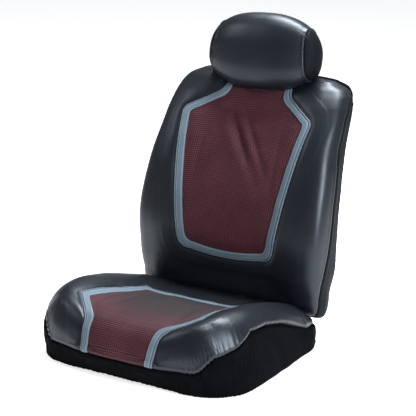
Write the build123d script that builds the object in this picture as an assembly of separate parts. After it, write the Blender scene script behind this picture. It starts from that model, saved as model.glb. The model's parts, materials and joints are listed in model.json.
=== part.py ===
from build123d import *
import os
from math import cos, radians, sin

# Fitted cover set for a low-back bucket seat, on the seat that it dresses.
# Millimetres. X is the seat's width, +Y runs from the knees to the back, +Z is up.
# Everything is drawn with Y = 0 at the front hem and is moved at the end, so that
# the origin is under the middle of the seat's box, on the floor.
ORIGIN_Y = 327.0

# Covers and foam
SKIN = 4.0                  # padded cover, backing foam included
HEM_Z = 2.5                 # the skirts stop just above the floor
FOAM_HEM_Z = 4.0

# Recliner: the lower end of the backrest is a roll about this axis
PIVOT_Y, PIVOT_Z = 482.0, 92.0
ROLL_R = 52.0
ROLL_HALF_WIDTH = 252.0
ROLL_END_R = 30.0
ROLL_GAP = 3.0              # from the roll to the cushion behind the crease
RECLINE_FORWARD = 20.0      # degrees of travel each way, which the bracket slots allow
RECLINE_REARWARD = 50.0

# Base and pan
RAIL_X = 165.0
RAIL_FOOT = (50.0, 410.0, 6.0)
RAIL_FOOT_Y = 229.0
RAIL_BOX_W, RAIL_BOX_L, RAIL_WALL = 30.0, 300.0, 3.0
RAIL_HOLE_SPACING_Y = 370.0
RAIL_HOLE_R = 4.5
PAN_HALF_W, PAN_FRONT_Y, PAN_REAR_Y = 197.5, 30.0, 424.0
PAN_BOTTOM_Z, PAN_TOP_Z, PAN_WALL = 8.0, 48.0, 2.5
BOLT_R, BOLT_HEAD_R, BOLT_HEAD_H = 4.0, 6.5, 5.0
PAN_BOLT_Y = (120.0, 350.0)

# Recliner brackets and pins
PLATE = 4.0
BRACKET_X = PAN_HALF_W                      # inner face of the bracket
BACK_PLATE_X = BRACKET_X - 1.0 - PLATE      # inner face of the backrest's plate
PIN_R = 8.0
PIN_CLEARANCE = 0.05
BRACKET_BOLT_Y = (320.0, 400.0)
BRACKET_BOLT_Z = 24.0
BRACKET_ANGLE = 270.0       # the bracket hangs straight down from the pivot
BRACKET_SPREAD = 28.0       # half of the angle it takes up, outside HUB_SPACE_R
HUB_SPACE_R = 45.0

# Backrest frame
TUBE_R = 12.5
TUBE_X = BACK_PLATE_X - TUBE_R
LEG_FOOT_Y, LEG_FOOT_Z = 488.0, 120.0
LEG_BEND_Y, LEG_BEND_Z = 490.0, 250.0
CROSS_TUBE_R, CROSS_TUBE_Z = 10.0, 152.0
WIRE_R = 2.0
WIRE_HEIGHTS = (215.0, 285.0, 355.0, 425.0)

# Headrest posts: a line in the side view, measured along it from POST_Y, POST_Z
LEAN = 20.0
POST_Y, POST_Z = 652.0, 640.0
POST_X, POST_R = 62.0, 6.0
POST_TOP, POST_BOTTOM = 22.0, -215.0
SLEEVE_CLEARANCE = 0.05
SLEEVE_R, SLEEVE_HEAD_R, SLEEVE_HEAD_T = 7.0, 12.0, 8.0
SLEEVE_TOP, SLEEVE_BOTTOM = -60.0, -185.0
GUIDE_R = 9.0
GUIDE_TOP, GUIDE_BOTTOM = -70.0, -190.0
CROSSBAR_AT = -98.0
TUBE_WALL = 2.0

# Release button in the head of the right-hand sleeve
BUTTON_W, BUTTON_T = 10.0, 4.0
BUTTON_OUT = 4.0
BUTTON_TRAVEL = 3.0
BUTTON_PLAY = 0.3
BUTTON_STOP = 0.5           # left between the pressed button and the post

# Cushion form, one row per station along Y:
# y, half width, height in the middle, height of the bolster crest, underside height
CUSHION_STATIONS = (
    (-38.0, 118.0, 84.0, 80.0, 46.0),
    (-26.0, 178.0, 110.0, 108.0, 20.0),
    (-4.0, 222.0, 132.0, 138.0, -4.0),
    (40.0, 255.0, 138.0, 158.0, -12.0),
    (110.0, 266.0, 132.0, 163.0, -12.0),
    (200.0, 269.0, 118.0, 148.0, -12.0),
    (300.0, 268.0, 101.0, 122.0, -12.0),
    (390.0, 264.0, 82.0, 92.0, -12.0),
    (428.0, 252.0, 73.0, 74.0, -12.0),
    (444.0, 226.0, 66.0, 62.0, -12.0),
)

BACK_TOP_Z = 589.0          # the top is trimmed flat here, under the headrest

# Backrest form, one row per station along Z:
# z, half width, front of the bolsters, front in the middle, rear
BACK_STATIONS = (
    (70.0, 236.0, 446.0, 450.0, 516.0),
    (112.0, 257.0, 424.0, 435.0, 545.0),
    (165.0, 262.0, 418.0, 432.0, 559.0),
    (235.0, 265.0, 416.0, 434.0, 561.0),
    (316.0, 263.0, 435.0, 453.0, 574.0),
    (385.0, 257.0, 461.0, 482.0, 595.0),
    (453.0, 249.0, 496.0, 517.0, 629.0),
    (519.0, 241.0, 543.0, 558.0, 668.0),
    (556.0, 228.0, 576.0, 590.0, 688.0),
    (579.0, 205.0, 603.0, 612.0, 690.0),
    (592.0, 165.0, 626.0, 630.0, 674.0),
)

# Headrest form: side profile, and how it shrinks towards the gussets
HEADREST_Y, HEADREST_Z, HEADREST_TILT = 627.0, 651.0, 14.0
HEADREST_HALF_T, HEADREST_HALF_H = 59.0, 87.0
HEADREST_STATIONS = ((0.0, 1.0), (70.0, 0.99), (108.0, 0.95), (130.0, 0.86), (143.0, 0.70))
CROWN_Y, CROWN_Z, CROWN_R = 650.0, 533.0, 68.0      # hollow under the headrest
GUSSET_X = 131.0
HEADREST_SEAM_REAR = 34.0   # behind the middle of the headrest

# Seams of the backrest in the side view, from the bottom up (y, z)
FRONT_SEAM = ((452.0, 62.0), (452.0, 130.0), (476.0, 245.0), (498.0, 330.0),
              (541.0, 445.0), (588.0, 540.0), (600.0, 566.0))
REAR_SEAM = ((505.0, 62.0), (512.0, 150.0), (520.0, 245.0), (538.0, 330.0),
             (583.0, 445.0), (630.0, 530.0), (646.0, 566.0))
SEAM_BOTTOM_Z = 62.0

# Insert and trim of the backrest in the front view (x, z), right half
BACK_TRIM_OUTER = ((133.0, 173.0), (182.0, 509.0), (92.0, 554.0), (89.0, 583.0))
BACK_TRIM_INNER = ((113.0, 192.0), (160.0, 499.0), (77.0, 542.0), (70.0, 583.0))
INSERT_CORNER_R = 26.0
INSERT_BOW = 8.0            # the lower edge sags by this much in the middle

# Insert and trim of the cushion in plan (x, y), right half
CUSHION_TRIM_OUTER = ((134.0, 278.0), (168.0, 58.0), (103.0, -11.0), (93.0, -60.0))
CUSHION_TRIM_INNER = ((117.0, 258.0), (145.0, 64.0), (84.0, -2.0), (74.0, -60.0))

# Seam between the cushion's top and its skirts in the side view (y, z)
SKIRT_SEAM = ((-60.0, 62.0), (-22.0, 62.0), (4.0, 98.0), (53.0, 109.0), (112.0, 128.0),
              (176.0, 122.0), (246.0, 104.0), (360.0, 58.0), (426.0, 50.0))
SKIRT_INNER_X, BAND_REAR_Y = 205.0, 60.0
FLAP_FRONT_Y = 426.0

# Straps under the seat, the tape that closes the backrest cover, and the side tag
STRAP_X, STRAP_W, STRAP_T = 90.0, 25.0, 1.5
STRAP_FRONT_Y, STRAP_REAR_Y = 2.0, 436.0
BUCKLE = (38.0, 30.0, 4.5)
TAPE_T, TAPE_HALF_L, TAPE_ANGLES = 1.5, 185.0, (-62.0, -25.0)
TAG_T = 1.2
TAG_OUTLINE = ((612.0, 477.0), (622.0, 470.0), (650.0, 503.0), (640.0, 510.0))

SMALLEST_SOLID = 200.0      # mm3; what the cuts leave that is smaller isn't a piece
FAR = 400.0                 # how far a cutting tool runs past the seat

parts = {}


# ---------------------------------------------------------------- helpers

def closed_face(points, plane_point):
    """A face inside a smooth closed curve; plane_point turns two numbers into a point."""
    curve = Spline(*[plane_point(a, b) for a, b in points], periodic=True)
    return Face(Wire(curve))


def mirrored(right):
    """The right half of an outline followed by its mirror image; both ends lie on x = 0."""
    return list(right) + [(-a, b) for a, b in reversed(right[1:-1])]


def side_prism(points, x_from, x_to):
    """A prism across the seat from an outline in the side view (y, z)."""
    face = Face(Wire.make_polygon([(x_from, y, z) for y, z in points], close=True))
    return extrude(face, amount=x_to - x_from, dir=(1, 0, 0))


def block(x0, x1, y0, y1, z0, z1):
    size = Box(x1 - x0, y1 - y0, z1 - z0)
    return size.moved(Location(((x0 + x1) / 2, (y0 + y1) / 2, (z0 + z1) / 2)))


def rod_x(radius, x0, x1, y, z):
    """A cylinder across the seat."""
    plane = Plane(origin=((x0 + x1) / 2, y, z), x_dir=(0, 1, 0), z_dir=(1, 0, 0))
    return plane * Cylinder(radius, x1 - x0)


def along_post(distance, off=0.0):
    """Y and Z of a point on the post line, or off it towards the rear."""
    y = POST_Y + distance * sin(radians(LEAN)) + off * cos(radians(LEAN))
    z = POST_Z + distance * cos(radians(LEAN)) - off * sin(radians(LEAN))
    return y, z


def post_rod(radius, x, low, high):
    """A cylinder along a headrest post."""
    y, z = along_post((low + high) / 2)
    plane = Plane(origin=(x, y, z), x_dir=(1, 0, 0), z_dir=(0, sin(radians(LEAN)), cos(radians(LEAN))))
    return plane * Cylinder(radius, high - low)


def post_block(x, half, low, high):
    """A square block about a headrest post."""
    y, z = along_post((low + high) / 2)
    plane = Plane(origin=(x, y, z), x_dir=(1, 0, 0), z_dir=(0, sin(radians(LEAN)), cos(radians(LEAN))))
    return plane * Box(2 * half, 2 * half, high - low)


def sector(radius, start, end, x0, x1):
    """A sector about the recliner axis, from angle start to end in the side view."""
    steps = 12
    rim = [start + (end - start) * i / steps for i in range(steps + 1)]
    points = [(PIVOT_Y + radius * cos(radians(a)), PIVOT_Z + radius * sin(radians(a))) for a in rim]
    return side_prism([(PIVOT_Y, PIVOT_Z)] + points, x0, x1)


def swept_tube(radius, points, bends, bore=0.0):
    path = FilletPolyline(*points, radius=bends)
    section = Circle(radius) - Circle(bore) if bore else Circle(radius)
    profile = Plane(origin=path @ 0, z_dir=path % 0) * section
    return sweep(profile, path=path)


def both_sides(make):
    """Left and right copies of a piece as one compound; make takes -1 or 1."""
    return Compound(children=[make(-1), make(1)])


def keep(name, shape):
    """Stores a named piece, as its separate solids."""
    solids = [s for s in shape.solids() if s.volume > SMALLEST_SOLID]
    parts[name] = solids[0] if len(solids) == 1 else Compound(children=solids)


def cut(shape, *tools):
    for tool in tools:
        for solid in tool.solids():
            shape = shape - solid
    return shape


# ---------------------------------------------------------------- soft forms

def cushion_form(inset):
    """The cushion as one closed form, inset evenly from the cover's outer face."""
    faces = []
    for y, half, middle, crest, under in CUSHION_STATIONS:
        half, middle, crest, under = half - inset, middle - inset, crest - inset, under + inset
        y = y + inset if y == CUSHION_STATIONS[0][0] else y
        y = y - inset if y == CUSHION_STATIONS[-1][0] else y
        tall = crest - under
        corner = min(0.2 * tall, 30.0)
        right = [
            (0.0, middle),
            (0.42 * half, middle + 0.12 * (crest - middle)),
            (half - 0.36 * min(half, 130.0), crest),
            (half - 0.07 * half, crest - 0.16 * tall),
            (half, crest - 0.48 * tall),
            (half - 2.0, under + 1.4 * corner),
            (half - 0.3 * corner - 2.0, under + 0.3 * corner),
            (half - 1.4 * corner, under),
            (0.4 * half, under),
            (0.0, under),
        ]
        faces.append(closed_face(mirrored(right), lambda a, b, at=y: (a, at, b)))
    return loft(faces)


def back_form(inset):
    """The backrest above its roll, inset evenly from the cover's outer face."""
    faces = []
    for z, half, bolster, middle, rear in BACK_STATIONS:
        half, bolster, middle, rear = half - inset, bolster + inset, middle + inset, rear - inset
        deep = rear - bolster
        front_r = min(44.0, 0.4 * deep)
        rear_r = min(54.0, 0.46 * deep)
        right = [
            (0.0, middle),
            (0.4 * half, middle - 0.12 * (middle - bolster)),
            (0.8 * half, bolster),
            (half - 0.3 * front_r, bolster + 0.3 * front_r),
            (half, bolster + 1.15 * front_r),
            (half - 0.3 * rear_r, rear - 0.3 * rear_r),
            (half - 1.15 * rear_r, rear),
            (0.35 * half, rear + 1.5),
            (0.0, rear + 2.0),
        ]
        faces.append(closed_face(mirrored(right), lambda a, b, at=z: (a, b, at)))
    return loft(faces) - block(-FAR, FAR, 0, 2 * FAR, BACK_TOP_Z - inset, 2 * FAR)


def roll_form(inset):
    """The lower end of the backrest, round about the recliner axis, with rounded ends."""
    half = ROLL_HALF_WIDTH - inset
    roll = rod_x(ROLL_R - inset, -half, half, PIVOT_Y, PIVOT_Z)
    return fillet(roll.edges().filter_by(GeomType.CIRCLE), ROLL_END_R)


def headrest_profile(share, inset):
    """Side profile of the headrest, a squarish oval that leans back."""
    half_t, half_h = share * HEADREST_HALF_T - inset, share * HEADREST_HALF_H - inset
    tilt = radians(HEADREST_TILT)
    points = []
    for step in range(16):
        angle = radians(22.5 * step)
        across = abs(cos(angle)) ** 0.75 * (1 if cos(angle) >= 0 else -1) * half_t
        up = abs(sin(angle)) ** 0.75 * (1 if sin(angle) >= 0 else -1) * half_h
        points.append((HEADREST_Y + across * cos(tilt) + up * sin(tilt), HEADREST_Z - across * sin(tilt) + up * cos(tilt)))
    return points


def headrest_form(inset):
    """The headrest, hollowed underneath where it sits on the top of the backrest."""
    rights = [(x, share) for x, share in HEADREST_STATIONS[1:]]
    stations = [(-x, share) for x, share in reversed(rights)] + [HEADREST_STATIONS[0]] + rights
    last = HEADREST_STATIONS[-1][0]
    faces = []
    for x, share in stations:
        at = x - inset * (1 if x > 0 else -1) if abs(x) == last else x
        faces.append(closed_face(headrest_profile(share, inset), lambda a, b, at=at: (at, a, b)))
    hollow = rod_x(CROWN_R + inset, -FAR, FAR, CROWN_Y, CROWN_Z)
    return loft(faces) - hollow


# ---------------------------------------------------------------- base, pan and recliner

def base_rail(side):
    """Flat foot with two floor bolt holes under a box section that carries the pan."""
    width, length, thick = RAIL_FOOT
    x = side * RAIL_X
    foot = Location((x, RAIL_FOOT_Y, thick / 2)) * Box(width, length, thick)
    top = PAN_TOP_Z - PAN_WALL
    tall = top - thick
    section = Rectangle(RAIL_BOX_W, tall) - Rectangle(RAIL_BOX_W - 2 * RAIL_WALL, tall - 2 * RAIL_WALL)
    plane = Plane(origin=(x, RAIL_FOOT_Y - RAIL_BOX_L / 2, thick + tall / 2), x_dir=(1, 0, 0), z_dir=(0, 1, 0))
    rail = foot + extrude(plane * section, amount=RAIL_BOX_L)
    for end in (-1, 1):
        hole_y = RAIL_FOOT_Y + end * RAIL_HOLE_SPACING_Y / 2
        rail = rail - Location((x, hole_y, thick / 2)) * Cylinder(RAIL_HOLE_R, 3 * thick)
    return rail


def pan():
    """Pressed pan, open underneath, that carries the cushion foam."""
    outer = block(-PAN_HALF_W, PAN_HALF_W, PAN_FRONT_Y, PAN_REAR_Y, PAN_BOTTOM_Z, PAN_TOP_Z)
    w = PAN_WALL
    inner = block(-PAN_HALF_W + w, PAN_HALF_W - w, PAN_FRONT_Y + w, PAN_REAR_Y - w, 0, PAN_TOP_Z - w)
    return outer - inner


def pan_bolt(x, y):
    head = extrude(Location((x, y, PAN_TOP_Z)) * RegularPolygon(BOLT_HEAD_R, 6), amount=BOLT_HEAD_H)
    shank = Location((x, y, PAN_TOP_Z - 10)) * Cylinder(BOLT_R, 20)
    return head + shank


def bracket(side):
    """Recliner bracket: an arm along the pan's side that turns up to the pivot."""
    x0 = side * BRACKET_X if side > 0 else side * BRACKET_X - PLATE
    arm = side_prism(((300, 10), (500, 10), (500, 38), (300, 38)), x0, x0 + PLATE)
    riser = side_prism(((462, 30), (502, 30), (500, PIVOT_Z), (464, PIVOT_Z)), x0, x0 + PLATE)
    boss = rod_x(20.0, x0, x0 + PLATE, PIVOT_Y, PIVOT_Z)
    return arm + riser + boss


def pivot_pin(side):
    """Headed pin through the bracket and the backrest's plate."""
    inner, outer = BACK_PLATE_X - 3.0, BRACKET_X + PLATE
    x0, x1 = sorted((side * inner, side * outer))
    head0, head1 = sorted((side * outer, side * (outer + 4.0)))
    return rod_x(PIN_R, x0, x1, PIVOT_Y, PIVOT_Z) + rod_x(PIN_R + 4.0, head0, head1, PIVOT_Y, PIVOT_Z)


def bracket_bolt(side, y):
    outer = BRACKET_X + PLATE
    x0, x1 = sorted((side * (BRACKET_X - PAN_WALL - 8.0), side * outer))
    h0, h1 = sorted((side * outer, side * (outer + BOLT_HEAD_H)))
    return rod_x(BOLT_R, x0, x1, y, BRACKET_BOLT_Z) + rod_x(BOLT_HEAD_R, h0, h1, y, BRACKET_BOLT_Z)


# ---------------------------------------------------------------- backrest frame

def crossbar_point():
    return along_post(CROSSBAR_AT, GUIDE_R + TUBE_R)


def leg_y(z):
    """Y of the frame leg's centre line above its bend."""
    top_y, top_z = crossbar_point()
    if z <= LEG_BEND_Z:
        return LEG_FOOT_Y + (LEG_BEND_Y - LEG_FOOT_Y) * (z - LEG_FOOT_Z) / (LEG_BEND_Z - LEG_FOOT_Z)
    return LEG_BEND_Y + (top_y - LEG_BEND_Y) * (z - LEG_BEND_Z) / (top_z - LEG_BEND_Z)


def back_frame(bore=0.0):
    top_y, top_z = crossbar_point()
    leg = [(LEG_FOOT_Y, LEG_FOOT_Z), (LEG_BEND_Y, LEG_BEND_Z), (top_y, top_z)]
    points = [(-TUBE_X, y, z) for y, z in leg] + [(TUBE_X, y, z) for y, z in reversed(leg)]
    return swept_tube(TUBE_R, points, (120.0, 46.0, 46.0, 120.0), bore)


def back_plate(side):
    """Plate from the pivot up the side of the frame leg, with the bore for the pin."""
    x0 = side * BACK_PLATE_X if side > 0 else side * BACK_PLATE_X - PLATE
    blade = side_prism(((460, PIVOT_Z), (504, PIVOT_Z), (504, 236), (474, 236)), x0, x0 + PLATE)
    boss = rod_x(22.0, x0, x0 + PLATE, PIVOT_Y, PIVOT_Z)
    return blade + boss - rod_x(PIN_R + PIN_CLEARANCE, x0 - 1, x0 + PLATE + 1, PIVOT_Y, PIVOT_Z)


def guide_tube(side):
    outer = post_rod(GUIDE_R, side * POST_X, GUIDE_BOTTOM, GUIDE_TOP)
    return outer - post_rod(SLEEVE_R, side * POST_X, GUIDE_BOTTOM - 1, GUIDE_TOP + 1)


def sleeve(side):
    body = post_rod(SLEEVE_R, side * POST_X, SLEEVE_BOTTOM, SLEEVE_TOP - SLEEVE_HEAD_T)
    head = post_rod(SLEEVE_HEAD_R, side * POST_X, SLEEVE_TOP - SLEEVE_HEAD_T, SLEEVE_TOP)
    bore = post_rod(POST_R + SLEEVE_CLEARANCE, side * POST_X, SLEEVE_BOTTOM - 1, SLEEVE_TOP + 1)
    return body + head - bore


def button_block(x0, x1, play):
    """A block in the button's own directions, level with the middle of the sleeve's head."""
    y, z = along_post(SLEEVE_TOP - SLEEVE_HEAD_T / 2)
    plane = Plane(origin=((x0 + x1) / 2, y, z), x_dir=(1, 0, 0), z_dir=(0, sin(radians(LEAN)), cos(radians(LEAN))))
    return plane * Box(x1 - x0, BUTTON_W + 2 * play, BUTTON_T + 2 * play)


# ---------------------------------------------------------------- build: metal

BUTTON_RIM_X = POST_X + SLEEVE_HEAD_R
BUTTON_END_X = BUTTON_RIM_X + BUTTON_OUT
BUTTON_ROOT_X = POST_X + POST_R + BUTTON_TRAVEL + BUTTON_STOP

pan_bolts = Compound(children=[pan_bolt(s * RAIL_X, y) for s in (-1, 1) for y in PAN_BOLT_Y])
bracket_bolts = Compound(children=[bracket_bolt(s, y) for s in (-1, 1) for y in BRACKET_BOLT_Y])
pins = both_sides(pivot_pin)
rails = {side: cut(base_rail(side), pan_bolts) for side in (-1, 1)}
seat_pan = cut(pan(), pan_bolts, bracket_bolts)
brackets = {side: cut(bracket(side), pins, bracket_bolts) for side in (-1, 1)}

frame = back_frame()
back_plates = {side: back_plate(side) for side in (-1, 1)}
cross_tube = cut(rod_x(CROSS_TUBE_R, -TUBE_X, TUBE_X, leg_y(CROSS_TUBE_Z), CROSS_TUBE_Z), frame)
wires = [cut(rod_x(WIRE_R, -TUBE_X, TUBE_X, leg_y(z), z), frame) for z in WIRE_HEIGHTS]
wires = Compound(children=[max(w.solids(), key=lambda s: s.volume) for w in wires])
cross_tube = max(cross_tube.solids(), key=lambda s: s.volume)
guides = both_sides(guide_tube)
guide_space = Compound(children=[post_rod(GUIDE_R, s * POST_X, GUIDE_BOTTOM, SLEEVE_TOP) for s in (-1, 1)])
sleeves = {side: sleeve(side) for side in (-1, 1)}
slot = button_block(POST_X + POST_R - 1.0, BUTTON_END_X + 1.0, BUTTON_PLAY)
sleeves[1] = sleeves[1] - slot
button = button_block(BUTTON_ROOT_X, BUTTON_END_X, 0.0)

post_feet = [(s * POST_X, *along_post(POST_BOTTOM)) for s in (-1, 1)]
post_heads = [(s * POST_X, *along_post(POST_TOP)) for s in (-1, 1)]
posts = swept_tube(POST_R, [post_feet[0], post_heads[0], post_heads[1], post_feet[1]], (22.0, 22.0))

# ---------------------------------------------------------------- build: forms

cushion_outer = cushion_form(0.0) - rod_x(ROLL_R + ROLL_GAP, -FAR, FAR, PIVOT_Y, PIVOT_Z)
cushion_inner = cushion_form(SKIN) - rod_x(ROLL_R + ROLL_GAP + SKIN, -FAR, FAR, PIVOT_Y, PIVOT_Z)
cushion_foam = cushion_inner - block(-FAR, FAR, -FAR, 2 * FAR, -FAR, FOAM_HEM_Z)
pan_space = block(-PAN_HALF_W, PAN_HALF_W, PAN_FRONT_Y, PAN_REAR_Y, -FAR, PAN_TOP_Z)

back_outer = back_form(0.0) + roll_form(0.0)
back_inner = back_form(SKIN) + roll_form(SKIN)
headrest_outer = headrest_form(0.0)
headrest_inner = headrest_form(SKIN)

# ---------------------------------------------------------------- build: cushion and its cover

head_pockets = Compound(children=[pan_bolts, bracket_bolts, brackets[-1], brackets[1]])
keep("cushion_foam", cut(cushion_foam, pan_space, head_pockets, rails[-1], rails[1]))
keep("cushion_pan", seat_pan)
keep("base_rail_left", rails[-1])
keep("base_rail_right", rails[1])
keep("pan_bolts", pan_bolts)
keep("recliner_bracket_left", brackets[-1])
keep("recliner_bracket_right", brackets[1])
keep("recliner_bracket_bolts", bracket_bolts)
keep("recliner_pivot_pins", pins)

cushion_shell = cut(cushion_outer, cushion_inner, brackets[-1], brackets[1])
cushion_shell = cushion_shell - block(-FAR, FAR, -FAR, 2 * FAR, -FAR, HEM_Z)
below_seam = SKIRT_SEAM + ((FLAP_FRONT_Y, -20.0), (-60.0, -20.0))
side_low = [side_prism(below_seam, *sorted((s * SKIRT_INNER_X, s * FAR))) for s in (-1, 1)]
front_low = block(-SKIRT_INNER_X, SKIRT_INNER_X, -60.0, BAND_REAR_Y, -20.0, SKIRT_SEAM[0][1])
behind_cushion = block(-FAR, FAR, FLAP_FRONT_Y, FAR * 2, -20, 300)


def plan_prism(points):
    """A tall prism from the right half of an outline in plan, with its mirror image."""
    outline = list(points) + [(-x, y) for x, y in reversed(points)]
    face = Face(Wire.make_polygon([(x, y, -20) for x, y in outline], close=True))
    return extrude(face, amount=400, dir=(0, 0, 1))


seat_skin = cushion_shell - behind_cushion
top_skin = cut(seat_skin, *side_low, front_low)
trim_outer = plan_prism(CUSHION_TRIM_OUTER)
trim_inner = plan_prism(CUSHION_TRIM_INNER)
keep("cushion_top_cover", top_skin - trim_outer)
keep("cushion_trim", (top_skin & trim_outer) - trim_inner)
keep("cushion_insert", top_skin & trim_inner)
keep("cushion_front_band", seat_skin & front_low)
keep("cushion_skirt_left", seat_skin & side_low[0])
keep("cushion_skirt_right", seat_skin & side_low[1])
keep("cushion_rear_flap", cushion_shell & behind_cushion)
strap_length = STRAP_REAR_Y - STRAP_FRONT_Y
strap_y, strap_z = (STRAP_REAR_Y + STRAP_FRONT_Y) / 2, HEM_Z + STRAP_T / 2
straps = Compound(children=[
    Location((s * STRAP_X, strap_y, strap_z)) * Box(STRAP_W, strap_length, STRAP_T) for s in (-1, 1)
])
buckles = Compound(children=[Location((s * STRAP_X, strap_y, strap_z)) * Box(*BUCKLE) for s in (-1, 1)])
keep("underseat_straps", straps)
keep("underseat_buckles", cut(buckles, straps))

# ---------------------------------------------------------------- build: backrest and its cover

bracket_slot = Compound(children=[
    sector(
        ROLL_R + 20.0,
        BRACKET_ANGLE - RECLINE_FORWARD - BRACKET_SPREAD,
        BRACKET_ANGLE + RECLINE_REARWARD + BRACKET_SPREAD,
        *sorted((side * (BRACKET_X - 0.5), side * (BRACKET_X + PLATE + 0.6))),
    )
    for side in (-1, 1)
])
hub_space = Compound(children=[
    rod_x(HUB_SPACE_R, *sorted((side * (BRACKET_X - 1.0), side * (BRACKET_X + PLATE + 0.6))), PIVOT_Y, PIVOT_Z)
    for side in (-1, 1)
])
pin_space = Compound(children=[
    rod_x(PIN_R + 4.6, *sorted((side * (BACK_PLATE_X - 3.6), side * (BRACKET_X + PLATE + 4.6))), PIVOT_Y, PIVOT_Z)
    for side in (-1, 1)
])
post_space = Compound(children=[post_rod(POST_R + 0.5, s * POST_X, POST_BOTTOM - 3, GUIDE_TOP) for s in (-1, 1)])
head_space = Compound(children=[
    post_block(s * POST_X, SLEEVE_HEAD_R + 0.5, SLEEVE_TOP - SLEEVE_HEAD_T, SLEEVE_TOP + 20) for s in (-1, 1)
])
button_y, button_z = along_post(SLEEVE_TOP + 10.0)
button_space = Location((BUTTON_RIM_X + 2.0, button_y, button_z), (-LEAN, 0, 0)) * Box(14.0, 18.0, 40.0)

back_foam = cut(
    back_inner, frame, back_plates[-1], back_plates[1], cross_tube, wires, bracket_slot, hub_space,
    pin_space, guide_space, post_space, head_space, button_space,
)
keep("back_foam", max(back_foam.solids(), key=lambda s: s.volume))
keep("back_frame_tube", back_frame(TUBE_R - TUBE_WALL))
keep("back_hinge_plate_left", back_plates[-1])
keep("back_hinge_plate_right", back_plates[1])
keep("back_lower_cross_tube", cross_tube)
keep("back_support_wires", wires)
keep("headrest_guide_tubes", guides)
keep("headrest_sleeve_left", sleeves[-1])
keep("headrest_sleeve_right", sleeves[1])

back_shell = cut(back_outer, back_inner, bracket_slot, head_space, button_space)
high, low, front, rear = 800.0, -50.0, 300.0, 900.0
front_zone = side_prism(
    ((front, SEAM_BOTTOM_Z),) + FRONT_SEAM + (REAR_SEAM[-1], (REAR_SEAM[-1][0], high), (front, high)), -FAR, FAR
)
rear_zone = side_prism(
    ((rear, SEAM_BOTTOM_Z),) + REAR_SEAM + ((REAR_SEAM[-1][0], high), (rear, high)), -FAR, FAR
)
gusset_zone = FRONT_SEAM + tuple(reversed(REAR_SEAM))
bottom_zone = block(-BRACKET_X, BRACKET_X, front, rear, low, SEAM_BOTTOM_Z)
end_zones = {s: block(*sorted((s * BRACKET_X, s * FAR)), front, rear, low, SEAM_BOTTOM_Z) for s in (-1, 1)}
side_zones = {s: side_prism(gusset_zone, *sorted((0, s * FAR))) + end_zones[s] for s in (-1, 1)}


def front_prism(points):
    """A prism towards the rear from the right half of an outline in the front view."""
    corner_x, corner_z = points[0]
    bow = [(0.0, corner_z - INSERT_BOW)]
    outline = list(points) + [(-x, z) for x, z in reversed(points)] + bow
    face = Face(Wire.make_polygon([(x, front, z) for x, z in outline], close=True))
    lower = face.vertices().sort_by(Axis.Z)[1:3]
    return extrude(face.fillet_2d(INSERT_CORNER_R, lower), amount=rear - front, dir=(0, 1, 0))


front_skin = back_shell & front_zone
back_trim_outer = front_prism(BACK_TRIM_OUTER)
back_trim_inner = front_prism(BACK_TRIM_INNER)
keep("back_cover_front", front_skin - back_trim_outer)
keep("back_trim", (front_skin & back_trim_outer) - back_trim_inner)
keep("back_insert", front_skin & back_trim_inner)
keep("back_gusset_left", back_shell & side_zones[-1])
keep("back_gusset_right", back_shell & side_zones[1])
keep("back_cover_rear", back_shell & rear_zone)
keep("back_bottom_flap", back_shell & bottom_zone)
tape = rod_x(ROLL_R + TAPE_T, -TAPE_HALF_L, TAPE_HALF_L, PIVOT_Y, PIVOT_Z)
tape = (tape - rod_x(ROLL_R, -FAR, FAR, PIVOT_Y, PIVOT_Z)) & sector(FAR, *TAPE_ANGLES, -FAR, FAR)
keep("back_closure_tape", tape)
keep("back_side_tag", (back_form(-TAG_T) & side_prism(TAG_OUTLINE, 150.0, FAR)) - back_outer)

# ---------------------------------------------------------------- build: headrest

headrest_foam = cut(headrest_inner, posts)
keep("headrest_foam", max(headrest_foam.solids(), key=lambda s: s.volume))
keep("headrest_posts", posts)
post_gaps = Compound(children=[post_rod(POST_R + 1.0, s * POST_X, -90, 30) for s in (-1, 1)])
headrest_shell = cut(headrest_outer, headrest_inner, post_gaps)


def headrest_split(offset):
    """Everything in front of a plane that leans with the headrest."""
    tilt = radians(HEADREST_TILT)
    plane = Plane(
        origin=(0, HEADREST_Y + offset * cos(tilt), HEADREST_Z - offset * sin(tilt)),
        x_dir=(1, 0, 0),
        z_dir=(0, -cos(tilt), sin(tilt)),
    )
    return extrude(plane * Rectangle(2 * FAR, 2 * FAR), amount=FAR)


inside_gussets = block(-GUSSET_X, GUSSET_X, 0, 2 * FAR, 0, 2 * FAR)
middle_skin = headrest_shell & inside_gussets
ahead = headrest_split(HEADREST_SEAM_REAR)
keep("headrest_cover_front", middle_skin & ahead)
keep("headrest_cover_rear", middle_skin - ahead)
keep("headrest_gusset_left", headrest_shell & block(-FAR, -GUSSET_X, 0, 2 * FAR, 0, 2 * FAR))
keep("headrest_gusset_right", headrest_shell & block(GUSSET_X, FAR, 0, 2 * FAR, 0, 2 * FAR))
keep("headrest_release_button", button)

# ---------------------------------------------------------------- write

for name, part in parts.items():
    export_step(part.moved(Location((0, -ORIGIN_Y, 0))), f"parts/{name}.step")
everything = Compound(children=[p.moved(Location((0, -ORIGIN_Y, 0))) for p in parts.values()])
print("box", everything.bounding_box())
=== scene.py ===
import json
import math

import bpy
import numpy as np
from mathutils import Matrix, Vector
from mathutils.bvhtree import BVHTree


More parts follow.
